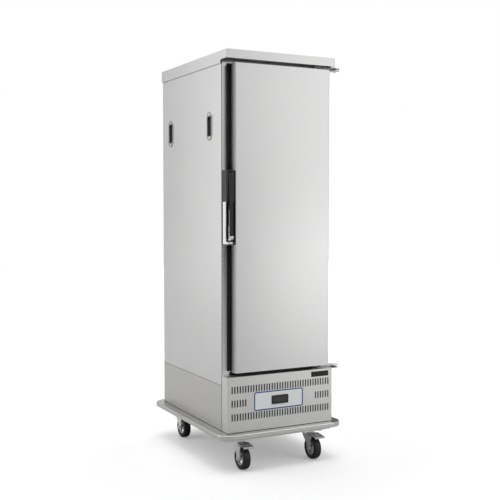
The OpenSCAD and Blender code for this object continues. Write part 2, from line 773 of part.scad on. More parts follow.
module key_left() key(0);
module key_middle() key(1);
module key_right() key(2);

module badge_plate() color(dark)
    front_sheet(cover_y - 0.8, 0.8) polygon(round_box(
        [side_x - 20 - badge_w, cover_z - 9 - badge_h], [side_x - 20, cover_z - 9], 2));

// ---------------------------------------------------------------- grips

// One recessed grip on the right side, its plate against the panel
module grip() {
    difference() {
        union() {
            side_sheet(side_x, grip_t) polygon(round_box([-grip_w / 2, -grip_h / 2],
                [grip_w / 2, grip_h / 2], grip_w / 2 - 0.5, 8));
            span([side_x - cup_d - cup_t, -cup_w / 2 - cup_t, -cup_h / 2 - cup_t],
                [side_x + 0.5, cup_w / 2 + cup_t, cup_h / 2 + cup_t]);
        }
        span([side_x - cup_d, -cup_w / 2, -cup_h / 2], [side_x + 5, cup_w / 2, cup_h / 2]);
        for (s = [-1, 1]) translate([side_x - 1, 0, s * grip_screw]) rotate([0, 90, 0])
            cylinder(r = screw_r + hole_play, h = 5);
    }
}

module right_grips() color(steel) for (y = grip_ys) translate([0, y, grip_zc]) grip();
module left_grips() mirror([1, 0, 0]) right_grips();

// ---------------------------------------------------------------- chamber

// Rack of one side: two channel posts and the angle runners on them
module right_tray_rack() color(steel) {
    for (y = post_ys) translate([post_x + seat, y - post_d / 2, chamber_z0])
        linear_extrude(chamber_z1 - chamber_z0 - seat) difference() {
            square([post_w, post_d]);
            translate([2, 2]) square([post_w, post_d - 4]);
        }
    for (k = [0:tray_levels - 1])
        translate([0, runner_y1, level_z0 + k * tray_pitch]) rotate([90, 0, 0])
            linear_extrude(runner_y1 - runner_y0) polygon([[post_x, 0], [post_x - ledge_w, 0],
                [post_x - ledge_w, -runner_t], [post_x - runner_t, -runner_t],
                [post_x - runner_t, -flange_h], [post_x, -flange_h]]);
}

module left_tray_rack() mirror([1, 0, 0]) right_tray_rack();

module air_duct() color(steel) difference() {
    union() {
        span([-duct_w / 2, duct_y, duct_z0], [duct_w / 2, duct_y + sheet_t, duct_z1]);
        for (s = [-1, 1])
            span([s * (duct_w - sheet_t) / 2 - sheet_t / 2, duct_y, duct_z0],
                [s * (duct_w - sheet_t) / 2 + sheet_t / 2, chamber_y, duct_z1]);
        // crossed guard wires over the fan
        translate([0, duct_y, evap_fan_z]) rotate([-90, 0, 0])
            cylinder(r = evap_fan_r + 12, h = sheet_t);
    }
    translate([0, duct_y - 1, evap_fan_z]) rotate([-90, 0, 0]) difference() {
        cylinder(r = evap_fan_r + 4, h = sheet_t + 2);
        for (r = [12, 26, 40]) difference() {
            cylinder(r = r + 1.5, h = sheet_t + 2);
            translate([0, 0, -1]) cylinder(r = r, h = sheet_t + 4);
        }
        for (a = [0, 45, 90, 135]) rotate([0, 0, a])
            translate([-evap_fan_r - 6, -1, 0]) cube([2 * evap_fan_r + 12, 2, sheet_t + 2]);
    }
    for (i = [-4:4]) span([i * 26 - 4, duct_y - 1, duct_z0 + 30],
        [i * 26 + 4, duct_y + 3, duct_z0 + 130]);
}

// Finned block between two corners, tubes along X through its end plates
module coil(a, b, fins, rows) {
    d = b - a;
    for (i = [0:fins - 1])
        translate([a.x + (d.x - 1.5) * i / (fins - 1), a.y, a.z]) cube([1.5, d.y, d.z]);
    for (k = [0:rows - 1])
        translate([a.x, a.y + d.y / 2, a.z + d.z * (k + 0.5) / rows]) rotate([0, 90, 0])
            cylinder(r = 4, h = d.x);
}

evap_side = 12;                                // room for the pipes beside the evaporator
evap_drop = 330;
evap_x = liquid_x - evap_side;
evap_z = evap_fan_z - evap_drop;
evap_h = 200;
coil_rows = 6;

module evaporator() color(copper)
    coil([-evap_x, chamber_y - 34, evap_z], [evap_x, chamber_y, evap_z + evap_h], 21, coil_rows);

// Axial fan on the Y axis: its motor stands at y = 0 and the blades lie in front
module blades(r, depth, count) {
    difference() {
        union() {
            rotate([90, 0, 0]) cylinder(r = r * 0.28, h = depth);
            for (k = [0:count - 1]) rotate([0, k * 360 / count, 0])
                translate([0, -depth / 2, r * 0.2]) rotate([0, 0, 28])
                    translate([-r * 0.28, -0.8, 0]) cube([r * 0.56, 1.6, r * 0.75]);
        }
        translate([0, 1, 0]) rotate([90, 0, 0]) cylinder(r = 3 + run, h = depth + 2);
    }
}

stand_w = 50;                                  // bracket of the condenser fan's motor
stand_t = 3;
stand_y = 36;
stand_foot = 34;
cond_y = cover_y + 29;
cond_fan_y = cond_y + cond_d + 28;
cond_fan_z = deck_z + cond_h / 2 + 8;
evap_fan_y = duct_y + 24;

module fan_motors() color(dark) {
    // evaporator fan motor on the chamber's back wall
    translate([0, 0, evap_fan_z]) {
        span([-24, chamber_y - 2, -24], [24, chamber_y, 24]);
        translate([0, chamber_y - 1, 0]) rotate([90, 0, 0])
            cylinder(r = 20, h = chamber_y - 1 - evap_fan_y - 2);
        translate([0, chamber_y - 5, 0]) rotate([90, 0, 0]) cylinder(r = 3, h = chamber_y - duct_y - 13);
    }
    // condenser fan motor on its bracket
    translate([0, 0, cond_fan_z]) {
        translate([0, cond_fan_y + 42, 0]) rotate([90, 0, 0]) cylinder(r = 32, h = 38);
        translate([0, cond_fan_y + 5, 0]) rotate([90, 0, 0]) cylinder(r = 3, h = 24);
    }
    span([-stand_w / 2, cond_fan_y + stand_y, deck_z],
        [stand_w / 2, cond_fan_y + stand_y + stand_t, cond_fan_z]);
    span([-stand_w / 2, cond_fan_y + stand_y, deck_z],
        [stand_w / 2, cond_fan_y + stand_y + stand_foot, deck_z + stand_t]);
}

module evaporator_fan() color(dark)
    translate([0, evap_fan_y, evap_fan_z]) blades(evap_fan_r, 14, 5);

module condenser_fan() color(dark)
    translate([0, cond_fan_y, cond_fan_z]) blades(cond_fan_r, 18, 5);

comp_x = -90;
comp_back = 130;                               // compressor's middle from the back
comp_y = back_y - comp_back;
comp_foot = 22;                                // height of the pot over the platform
comp_crown = 30;                               // radius of the pot's crown
comp_heel = 14;                                // radius of the pot's foot
suction_z = 110;                               // height of the suction line at the compressor

module compressor() color(dark) {
    translate([comp_x, comp_y, deck_z + comp_foot]) rotate_extrude() polygon(concat([[0, 0]],
        [for (a = [-90:15:0]) [comp_r - comp_heel + comp_heel * cos(a),
            comp_heel + comp_heel * sin(a)]],
        [for (a = [0:15:90]) [comp_r - comp_crown + comp_crown * cos(a),
            comp_h - comp_foot - comp_crown + comp_crown * sin(a)]],
        [[0, comp_h - comp_foot]]));
    translate([comp_x, comp_y, deck_z + 10])
        linear_extrude(14) polygon(round_box([-85, -60], [85, 60], 12));
    for (sx = [-1, 1], sy = [-1, 1]) translate([comp_x + sx * 70, comp_y + sy * 45, deck_z])
        cylinder(r = 11, h = 12);
}

cond_z = deck_z + 5;

module condenser() color(steel) {
    coil([-cond_w / 2, cond_y, cond_z], [cond_w / 2, cond_y + cond_d, cond_z + cond_h], 26,
        coil_rows);
    span([-cond_w / 2, cond_y, deck_z], [cond_w / 2, cond_y + cond_d, cond_z + 1]);
}

// Tube through a list of points, with a wider elbow at each corner
module pipe(points) {
    for (i = [1:len(points) - 1]) {
        a = points[i - 1];
        d = points[i] - a;
        translate(a) rotate([0, acos(d.z / norm(d)), atan2(d.y, d.x)])
            cylinder(r = pipe_r, h = norm(d));
    }
    for (i = [1:len(points) - 2]) translate(points[i]) sphere(r = pipe_r + 0.5);
}

module refrigerant_pipes() color(copper) {
    cond_mid = cond_y + cond_d / 2;
    hot_z = cond_z + cond_h * 1.5 / coil_rows;
    cold_z = cond_z + cond_h * 0.5 / coil_rows;
    back_z = deck_z + suction_z;
    // from the compressor to the condenser
    pipe([[comp_x - comp_r - seat, comp_y, hot_z], [comp_x - comp_r - 9, comp_y, hot_z],
        [comp_x - comp_r - 9, cond_mid, hot_z], [-cond_w / 2 - seat, cond_mid, hot_z]]);
    // from the condenser to the foot of the evaporator
    pipe([[cond_w / 2 + seat, cond_mid, cold_z], [suction_x + 8, cond_mid, cold_z],
        [suction_x + 8, pipe_y, cold_z], [liquid_x, pipe_y, cold_z],
        [liquid_x, pipe_y, evap_z + evap_h * 0.5 / coil_rows],
        [evap_x + seat, pipe_y, evap_z + evap_h * 0.5 / coil_rows]]);
    // from the head of the evaporator back to the compressor
    pipe([[evap_x + seat, pipe_y, evap_z + evap_h * (coil_rows - 0.5) / coil_rows],
        [suction_x, pipe_y, evap_z + evap_h * (coil_rows - 0.5) / coil_rows],
        [suction_x, pipe_y, back_z], [suction_x, comp_y, back_z],
        [comp_x + comp_r + seat, comp_y, back_z]]);
}

// ---------------------------------------------------------------- hinges

module at_pivot(z) {
    translate([pivot_x, pivot_y, z]) children();
}

// Arm from the face frame out to the pivot, lying between z and z + hinge_t
module bracket_arm(z) {
    translate([0, 0, z]) linear_extrude(hinge_t) hull() {
        translate([pivot_x, pivot_y]) circle(r = lug_r, $fn = 64);
        translate([side_x - 62, face_y - 34]) square([60, 34]);
    }
}

top_arm_z = door_z1 + 4.5;
low_arm_z = cover_z;
bush_r = 9;

module hinge_brackets() color(steel) {
    // top bracket, screwed to the face frame behind the cap's lip
    difference() {
        union() {
            bracket_arm(top_arm_z);
            span([side_x - 62, face_y - 2.5, top_arm_z], [side_x - 2, face_y, top_arm_z + 26]);
            at_pivot(door_z1 + seat) cylinder(r = bush_r, h = top_arm_z - door_z1);
        }
        at_pivot(door_z1 - 5) cylinder(r = pin_r + run, h = 20);
        for (x = [side_x - 48, side_x - 16]) translate([x, face_y - 10, top_arm_z + 16])
            rotate([-90, 0, 0]) cylinder(r = screw_r + hole_play, h = 20);
    }
    // bottom bracket, lying on the vent cover's top
    difference() {
        union() {
            bracket_arm(low_arm_z);
            at_pivot(low_arm_z) cylinder(r = bush_r, h = door_z0 - hinge_t - low_arm_z - seat);
        }
        at_pivot(low_arm_z - 5) cylinder(r = pin_r + run, h = 30);
        for (x = [side_x - 48, side_x - 16]) translate([x, face_y - 17, low_arm_z - 1])
            cylinder(r = screw_r + hole_play, h = 20);
    }
}

module hinge_pins() color(zinc) {
    at_pivot(door_z1 - 9) cylinder(r = pin_r, h = top_arm_z + hinge_t - door_z1 + 10);
    at_pivot(top_arm_z + hinge_t) cylinder(r = 8, h = 3);
    at_pivot(low_arm_z - 1) cylinder(r = pin_r, h = door_z0 - low_arm_z + 4);
    at_pivot(low_arm_z - 3.5) cylinder(r = 8, h = 3.5);
}

// Lug and leaf on the door's right edge; the lug's faces are z and z + hinge_t
module door_hinge(z, leaf_z) {
    difference() {
        union() {
            translate([0, 0, z]) linear_extrude(hinge_t) hull() {
                translate([pivot_x, pivot_y]) circle(r = lug_r, $fn = 64);
                translate([door_x1, door_front + 3]) square([3, door_t - 8]);
            }
            span([door_x1, door_front + 3, leaf_z],
                [door_x1 + 3, door_back - 5, leaf_z + hinge_leaf_h]);
        }
        at_pivot(z - 1) cylinder(r = pin_r + run, h = hinge_t + 2);
    }
}

module door_hinge_plates() color(steel) {
    door_hinge(door_z1 - hinge_t, door_z1 - hinge_leaf_h);
    door_hinge(door_z0 - hinge_t, door_z0 - hinge_t);
}

// ---------------------------------------------------------------- screws

module body_screws() color(zinc) {
    for (s = [0, 1]) mirror([s, 0, 0]) {
        for (y = cap_screw_ys) translate([side_x + cap_over, y, cap_screw_z])
            mirror([1, 0, 0]) screw(cap_over);
        for (y = panel_screw_ys) translate([side_x, y, panel_screw_z])
            mirror([1, 0, 0]) screw(sheet_t);
        for (y = grip_ys, k = [-1, 1]) translate([side_x + grip_t, y, grip_zc + k * grip_screw])
            mirror([1, 0, 0]) screw(grip_t + sheet_t);
    }
    for (x = [side_x - 48, side_x - 16]) {
        translate([x, face_y - 2.5, top_arm_z + 16]) rotate([0, 0, 90]) screw(2.5);
        translate([x, face_y - 17, low_arm_z + hinge_t]) rotate([0, 90, 0]) screw(hinge_t);
    }
}

// ---------------------------------------------------------------- door

// The door's front part seen from above, its bent edges set in by d, back to y1
function door_outline(d, y1) = let (r = bend_r - d) concat(
    quarter([door_x0 + bend_r, door_front + bend_r], r, 180),
    quarter([door_x1 - bend_r, door_front + bend_r], r, -90),
    [[door_x1 - d, y1], [door_x0 + d, y1]]);

module door_skin() color(steel) difference() {
    translate([0, 0, door_z0]) linear_extrude(door_z1 - door_z0)
        polygon(door_outline(0, door_front + skin_fold));
    translate([0, 0, door_z0 + skin_t]) linear_extrude(door_z1 - door_z0 - 2 * skin_t)
        polygon(door_outline(skin_t, door_front + skin_fold + 1));
}

module door_edge_profile() color(dark)
    front_sheet(door_front + skin_fold, door_t - skin_fold)
        pierced(box_outline([door_x0, door_z0], [door_x1, door_z1]),
            [box_outline([door_x0 + edge_w, door_z0 + edge_w],
                [door_x1 - edge_w, door_z1 - edge_w])]);

module door_core() color(foam) {
    translate([0, 0, door_z0 + skin_t]) linear_extrude(door_z1 - door_z0 - 2 * skin_t)
        polygon(door_outline(skin_t, door_front + skin_fold));
    span([door_x0 + edge_w, door_front + skin_fold - 1, door_z0 + edge_w],
        [door_x1 - edge_w, door_back - skin_t, door_z1 - edge_w]);
}

module door_liner() color(steel)
    span([door_x0 + edge_w, door_back - skin_t, door_z0 + edge_w],
        [door_x1 - edge_w, door_back, door_z1 - edge_w]);

gasket_x = chamber_x + 2;
gasket_z0 = chamber_z0 - 2;
gasket_z1 = chamber_z1 + 2;

module door_gasket() color(rubber)
    front_sheet(door_back, gasket_gap - seat)
        pierced(box_outline([-gasket_x - gasket_w, gasket_z0 - gasket_w],
                [gasket_x + gasket_w, gasket_z1 + gasket_w]),
            [box_outline([-gasket_x, gasket_z0], [gasket_x, gasket_z1])]);

// ---------------------------------------------------------------- latch

module latch_housing() color(dark) difference() {
    span([latch_x0, latch_y0, latch_z0], [door_x0, latch_y1, latch_z1]);
    // upper front, set back to show the door's edge
    span([latch_x0 - 1, latch_y0 - 1, recess_z1], [door_x0 + 1, latch_y0 + latch_step,
        latch_z1 + 1]);
    // finger recess, open at the front and at its front left corner
    span([latch_x0 + cheek_t, latch_y0 - 1, recess_z0], [door_x0 - cheek_t, recess_y, recess_z1]);
    span([latch_x0 - 1, latch_y0 - 1, recess_z0], [latch_x0 + cheek_t + 1, strip_y0, recess_z1]);
    // seat of the chrome strip and band
    span([latch_x0 - 1, strip_y0 - 1, recess_z0 - band_h],
        [latch_x0 + cheek_t, strip_y0 + strip_d, recess_z1]);
    span([latch_x0 - 1, latch_y0 - 1, recess_z0 - band_h],
        [latch_x0 + cheek_t, strip_y0, recess_z0]);
    span([latch_x0 - 1, latch_y0 - 1, recess_z0 - band_h],
        [latch_x0 + band_w, latch_y0 + 3, recess_z0]);
    // channel of the lever
    span([lever_x - lever_w / 2 - slide, latch_y0 - 1, recess_z1 - 1],
        [lever_x + lever_w / 2 + slide, lever_pivot_y + 12, latch_z1 - 5]);
    // rooms of the bolt's block and of the keeper, with the bolt's guides below and between
    span([lever_x - chamber_w / 2, lever_pivot_y + 11, bolt_z0 + guide_h],
        [lever_x + chamber_w / 2, latch_y1 + 1, lever_pivot_z + block_h / 2 + slide]);
    span([lever_x - chamber_w / 2, lever_pivot_y + 11, tongue_z - 1],
        [lever_x + chamber_w / 2, latch_y1 + 1, latch_z1 - 4]);
    translate([lever_x, bolt_y, bolt_z0 - bolt_travel - 2])
        cylinder(r = bolt_r + run, h = tongue_z - bolt_z0 + bolt_travel + 2);
    translate([lever_x - 14, lever_pivot_y, lever_pivot_z]) rotate([0, 90, 0])
        cylinder(r = trunnion_r + run, h = 28);
}

module latch_bezel() color(chrome) {
    span([latch_x0, strip_y0, recess_z0 - band_h],
        [latch_x0 + cheek_t, strip_y0 + strip_d, recess_z1]);
    difference() {
        span([latch_x0, latch_y0, recess_z0 - band_h],
            [latch_x0 + band_w, strip_y0, recess_z0]);
        span([latch_x0 + cheek_t, latch_y0 + 3, recess_z0 - band_h - 1],
            [latch_x0 + band_w + 1, strip_y0 + 1, recess_z0 + 1]);
    }
}

module latch_lever() color(dark) difference() {
    union() {
        side_sheet(lever_x - lever_w / 2, lever_w) polygon([
            [latch_y0, lever_z0 + tip_h], [latch_y0 + lever_t, lever_z0 + tip_h],
            [latch_y0 + lever_t, recess_z1 - 30], [lever_pivot_y + 1, lever_pivot_z - 10],
            [lever_pivot_y + 1, lever_top], [latch_y0 + latch_step - 1.5, lever_top],
            [latch_y0 + latch_step - 2.5, lever_pivot_z], [latch_y0, recess_z1 - 30]]);
        translate([lever_x - lever_w / 2, lever_pivot_y, lever_pivot_z]) rotate([0, 90, 0])
            cylinder(r = boss_r, h = lever_w);
        translate([lever_x - 13, lever_pivot_y, lever_pivot_z]) rotate([0, 90, 0])
            cylinder(r = trunnion_r, h = 26);
        // arm with its round nose
        span([lever_x - 4, lever_pivot_y, lever_pivot_z - 1.5],
            [lever_x + 4, bolt_y, lever_pivot_z + 1.5]);
        translate([lever_x - 4, bolt_y, lever_pivot_z]) rotate([0, 90, 0])
            cylinder(r = nose_r, h = 8);
    }
}

// Chrome foot under the lever with a strip up its outer side
module lever_tip() color(chrome) {
    side_sheet(lever_x - lever_w / 2 - tip_over, lever_w + 2 * tip_over) polygon([
        [latch_y0 - 1, lever_z0 + tip_h], [latch_y0 - 1, lever_z0 + tip_h - 5],
        [latch_y0 + lever_t - 2, lever_z0], [latch_y0 + lever_t + 2, lever_z0],
        [latch_y0 + lever_t + 2, lever_z0 + tip_h]]);
    span([lever_x - lever_w / 2 - tip_over, latch_y0 - 1, lever_z0 + tip_h - 1],
        [lever_x - lever_w / 2, latch_y0 + lever_t, lever_z0 + tip_strip_h]);
}

module latch_bolt() color(zinc) difference() {
    union() {
        translate([lever_x, bolt_y, bolt_z0])
            cylinder(r = bolt_r, h = bolt_top - bolt_tip - bolt_z0);
        translate([lever_x, bolt_y, bolt_top - bolt_tip])
            cylinder(r1 = bolt_r, r2 = bolt_r - 2, h = bolt_tip);
        span([lever_x - 8, bolt_y - 4.5, lever_pivot_z - block_h / 2],
            [lever_x + 8, bolt_y + 8, lever_pivot_z + block_h / 2]);
    }
    // slot that takes the nose of the lever's arm
    span([lever_x - 9, bolt_y - 10, lever_pivot_z - nose_r - 0.5],
        [lever_x + 9, bolt_y + nose_r + 0.7, lever_pivot_z + nose_r + 0.5]);
}

module latch_keeper() color(steel) difference() {
    union() {
        span([lever_x - 9, bolt_y - 9, tongue_z], [lever_x + 9, face_y, tongue_z + tongue_t]);
        span([lever_x - 9, face_y - 2, tongue_z - 30], [lever_x + 9, face_y, tongue_z + tongue_t]);
    }
    translate([lever_x, bolt_y, tongue_z - 1]) cylinder(r = bolt_r + slide, h = tongue_t + 2);
}

// ---------------------------------------------------------------- castor nodes

module front_left() translate([-front_castor_x, -castor_y, 0]) children();
module front_right() translate([front_castor_x, -castor_y, 0]) children();
module rear_left() translate([-rear_castor_x, castor_y, 0]) children();
module rear_right() translate([rear_castor_x, castor_y, 0]) children();

base_frame();
castor_plates();
castor_fasteners();
kingpins();  // castor_fasteners
lower_side_panels();
left_panel();
right_panel();
rear_panel();
power_inlet();
face_frame();
insulation();
inner_liner();
top_cap();
vent_cover();
control_plate();
controller();
badge_plate();
left_grips();
right_grips();
left_tray_rack();
right_tray_rack();
air_duct();
evaporator();
fan_motors();
compressor();
condenser();
refrigerant_pipes();
latch_keeper();
hinge_brackets();
hinge_pins();
body_screws();
door_skin();
door_edge_profile();
door_core();
door_liner();
door_gasket();
door_hinge_plates();
latch_housing();
latch_bezel();
latch_lever();
lever_tip();
latch_bolt();
evaporator_fan();
condenser_fan();
key_left();
key_middle();
key_right();
front_left() fork(true);  // front_left_fork
front_left() hub();  // front_left_hub
front_left() tyre();  // front_left_tyre
front_left() pedal();  // front_left_pedal
front_right() fork(true);  // front_right_fork
front_right() hub();  // front_right_hub
front_right() tyre();  // front_right_tyre
front_right() pedal();  // front_right_pedal
rear_left() fork(false);  // rear_left_fork
rear_left() hub();  // rear_left_hub
rear_left() tyre();  // rear_left_tyre
rear_right() fork(false);  // rear_right_fork
rear_right() hub();  // rear_right_hub
rear_right() tyre();  // rear_right_tyre
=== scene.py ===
"""Looks, light and camera of the refrigerated tray cart.

Metres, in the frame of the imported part: floor at z = 0, front towards -Y, hinge side towards +X.
"""
import json
import math

import bmesh
import bpy
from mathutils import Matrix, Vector


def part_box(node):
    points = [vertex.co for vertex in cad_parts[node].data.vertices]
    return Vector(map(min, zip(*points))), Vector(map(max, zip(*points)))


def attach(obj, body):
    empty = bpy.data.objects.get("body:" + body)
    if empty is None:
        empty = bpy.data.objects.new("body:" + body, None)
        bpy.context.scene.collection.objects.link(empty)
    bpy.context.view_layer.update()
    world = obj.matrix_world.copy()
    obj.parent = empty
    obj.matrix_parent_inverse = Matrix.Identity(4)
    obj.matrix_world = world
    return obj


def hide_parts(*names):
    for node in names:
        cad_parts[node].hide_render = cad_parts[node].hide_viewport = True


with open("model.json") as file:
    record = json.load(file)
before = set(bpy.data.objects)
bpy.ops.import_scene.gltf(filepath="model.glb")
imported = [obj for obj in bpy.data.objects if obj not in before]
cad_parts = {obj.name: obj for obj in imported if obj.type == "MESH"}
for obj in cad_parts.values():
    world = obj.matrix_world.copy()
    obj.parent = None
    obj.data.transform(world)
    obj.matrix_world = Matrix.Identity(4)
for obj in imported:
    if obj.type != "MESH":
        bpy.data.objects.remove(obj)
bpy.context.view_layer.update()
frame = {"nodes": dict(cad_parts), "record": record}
node = frame["nodes"]
scene = bpy.context.scene


# ---------------------------------------------------------------- shader nodes

WHITE = (1, 1, 1, 1)


def shade(colour, factor):
    """The colour at factor times its brightness."""
    return tuple(min(1.0, c * factor) for c in colour) + (1.0,)


class Tree:
    """The shader nodes of a material or a world, with short calls to add and join them."""

    def __init__(self, owner, clear=False):
        owner.use_nodes = True
        self.tree = owner.node_tree
        if clear:
            self.tree.nodes.clear()

    def add(self, kind, inputs=None, **settings):
        n = self.tree.nodes.new(kind)
        for key, value in settings.items():
            setattr(n, key, value)
        for key, value in (inputs or {}).items():
            self.join(value, n.inputs[key])
        return n

    def join(self, value, socket):
        """Link a socket to the input, or set the input to a plain value."""
        if isinstance(value, bpy.types.NodeSocket):
            self.tree.links.new(value, socket)
        else:
            socket.default_value = value

    def ramp(self, value, low, high, out_low, out_high):
        return self.add("ShaderNodeMapRange", {"Value": value, "From Min": low, "From Max": high,
                                               "To Min": out_low, "To Max": out_high}).outputs[0]

    def math(self, operation, a, b):
        return self.add("ShaderNodeMath", {0: a, 1: b}, operation=operation).outputs[0]

    def mix(self, factor, a, b):
        n = self.add("ShaderNodeMix", {"Factor": factor}, data_type="RGBA")
        self.join(a, n.inputs[6])
        self.join(b, n.inputs[7])
        return n.outputs[2]


class Finish(Tree):
    """A material on the principled shader, textured in the object's own space."""

    def __init__(self, name):
        self.mat = bpy.data.materials.new(name)
        super().__init__(self.mat)
        self.bsdf = self.tree.nodes["Principled BSDF"]
        self.coord = self.add("ShaderNodeTexCoord").outputs["Object"]

    def noise(self, scale, detail, rough, stretch=(1, 1, 1)):
        place = self.add("ShaderNodeMapping", {"Vector": self.coord, "Scale": stretch})
        return self.add("ShaderNodeTexNoise", {"Vector": place.outputs[0], "Scale": scale,
                                               "Detail": detail, "Roughness": rough}).outputs["Fac"]

    def vary(self, noise, low, high):
        """A value that goes from low to high over the middle of the noise's own values."""
        return self.ramp(noise, 0.3, 0.7, low, high)

    def tint(self, factor, colour, low, high):
        """The colour, from low to high times its brightness."""
        return self.mix(factor, shade(colour, low), shade(colour, high))

    def bump(self, height, strength, distance):
        self.join(self.add("ShaderNodeBump", {"Height": height, "Strength": strength,
                                              "Distance": distance}).outputs[0],
                  self.bsdf.inputs["Normal"])

    def set(self, **values):
        for key, value in values.items():
            self.join(value, self.bsdf.inputs[key.replace("_", " ")])


# ---------------------------------------------------------------- materials

# Grain of brushed sheet: how far the texture is drawn out along each axis
EVEN = (1, 1, 1)
VERTICAL = (1, 1, 0.02)
ALONG_X = (0.02, 1, 1)


def brushed(name, colour, rough, grain=VERTICAL, depth=0.03, spread=0.02, shaded_top=None):
    """Satin sheet: fine grain along one direction, and faint clouding.

    shaded_top is a darker colour painted on the faces that look up, as painted shade.
    """
    g = Finish(name)
    fine = g.noise(2600, 2.0, 0.6, grain)
    streak = g.noise(620, 2.0, 0.5, grain)
    cloud = g.noise(5, 4.0, 0.55, (1, 1, 0.7))
    tone = g.math("ADD", g.vary(fine, -spread, spread),
                  g.vary(streak, -spread * 0.7, spread * 0.7))
    tone = g.math("ADD", tone, g.vary(cloud, -0.006, 0.006))
    value = g.ramp(tone, -0.08, 0.08, 0.0, 1.0)
    paint = g.tint(value, colour, 0.92, 1.08)
    if shaded_top:
        # Painted shade: faces that look up take the darker colour
        normal = g.add("ShaderNodeNewGeometry").outputs["Normal"]
        up = g.add("ShaderNodeSeparateXYZ", {0: normal}).outputs["Z"]
        paint = g.mix(g.ramp(up, 0.4, 0.9, 0.0, 1.0), paint, g.tint(value, shaded_top, 0.92, 1.08))
    g.set(Base_Color=paint, Metallic=1.0,
          Roughness=g.math("ADD", g.ramp(cloud, 0.25, 0.75, rough - 0.012, rough + 0.012),
                           g.vary(streak, -0.03, 0.03)))
    g.bump(g.math("ADD", fine, g.math("MULTIPLY", streak, 0.5)), depth, 0.0001)
    return g.mat


def plated(name, colour, rough, mottle, depth, spread=0.08):
    """Zinc plate or cast metal: soft mottling and fine pitting."""
    g = Finish(name)
    spot = g.noise(mottle, 4.0, 0.6)
    grit = g.noise(1500, 2.0, 0.5)
    g.set(Base_Color=g.tint(g.vary(spot, 0.0, 1.0), colour, 1 - spread, 1 + spread), Metallic=1.0,
          Roughness=g.vary(spot, rough - 0.06, rough + 0.08))
    g.bump(g.math("ADD", spot, g.math("MULTIPLY", grit, 0.4)), depth, 0.0003)
    return g.mat


def mirror_chrome(name, colour, rough):
    """Chrome plate with faint polishing waves."""
    g = Finish(name)
    wave = g.noise(90, 2.0, 0.5, (1, 1, 0.5))
    haze = g.noise(420, 3.0, 0.6)
    g.set(Base_Color=g.tint(haze, colour, 0.96, 1.03), Metallic=1.0,
          Roughness=g.vary(haze, rough - 0.02, rough + 0.03))
    g.bump(wave, 0.04, 0.0004)
    return g.mat


def moulded(name, colour, rough, grain, depth, spread=0.12, coat=0.0):
    """Moulded plastic, rubber or paint: fine eroded texture and slight tone changes."""
    g = Finish(name)
    skin_noise = g.noise(grain, 3.0, 0.6)
    cloud = g.noise(22, 3.0, 0.5)
    tone = g.math("ADD", g.vary(cloud, 0.15, 0.75), g.vary(skin_noise, -0.2, 0.2))
    g.set(Base_Color=g.tint(tone, colour, 1 - spread, 1 + spread),
          Roughness=g.vary(cloud, rough - 0.05, rough + 0.06))
    if coat:
        g.set(Coat_Weight=coat, Coat_Roughness=0.12)
    g.bump(skin_noise, depth, 0.0002)
    return g.mat


def foamed(name, colour):
    """Cut polyurethane foam: cells and uneven yellowing."""
    g = Finish(name)
    cell = g.add("ShaderNodeTexVoronoi", {"Vector": g.coord, "Scale": 420.0}).outputs["Distance"]
    cloud = g.noise(14, 4.0, 0.6)
    g.set(Base_Color=g.tint(g.vary(cloud, 0.0, 1.0), colour, 0.86, 1.06),
          Roughness=g.ramp(cell, 0.0, 0.6, 0.8, 0.95))
    g.bump(cell, 0.5, 0.0006)
    return g.mat


def tread_rubber(name, colour):
    """Tyre rubber: matte, with dust in its pores."""
    g = Finish(name)
    pore = g.noise(1100, 4.0, 0.6)
    dust = g.noise(55, 5.0, 0.65)
    g.set(Base_Color=g.tint(g.ramp(dust, 0.35, 0.75, 0.0, 1.0), colour, 0.8, 1.5),
          Roughness=g.vary(dust, 0.42, 0.62))
    g.bump(g.math("ADD", pore, dust), 0.16, 0.0003)
    return g.mat


def printed_film(name, colour):
    """Printed polyester film: even, with a slight orange peel."""
    g = Finish(name)
    peel = g.noise(240, 2.0, 0.5)
    cloud = g.noise(18, 2.0, 0.5)
    g.set(Base_Color=g.tint(cloud, colour, 0.97, 1.02), Roughness=g.vary(peel, 0.3, 0.38))
    g.bump(peel, 0.05, 0.0002)
    return g.mat


def dark_glass(name, colour, rough):
    """Tinted window with faint wiping marks."""
    g = Finish(name)
    wipe = g.noise(60, 4.0, 0.6, (1, 1, 6))
    g.set(Base_Color=g.tint(wipe, colour, 0.85, 1.2),
          Roughness=g.vary(wipe, rough - 0.03, rough + 0.05),
          Coat_Weight=0.6, Coat_Roughness=0.06)
    g.bump(wipe, 0.02, 0.0002)
    return g.mat


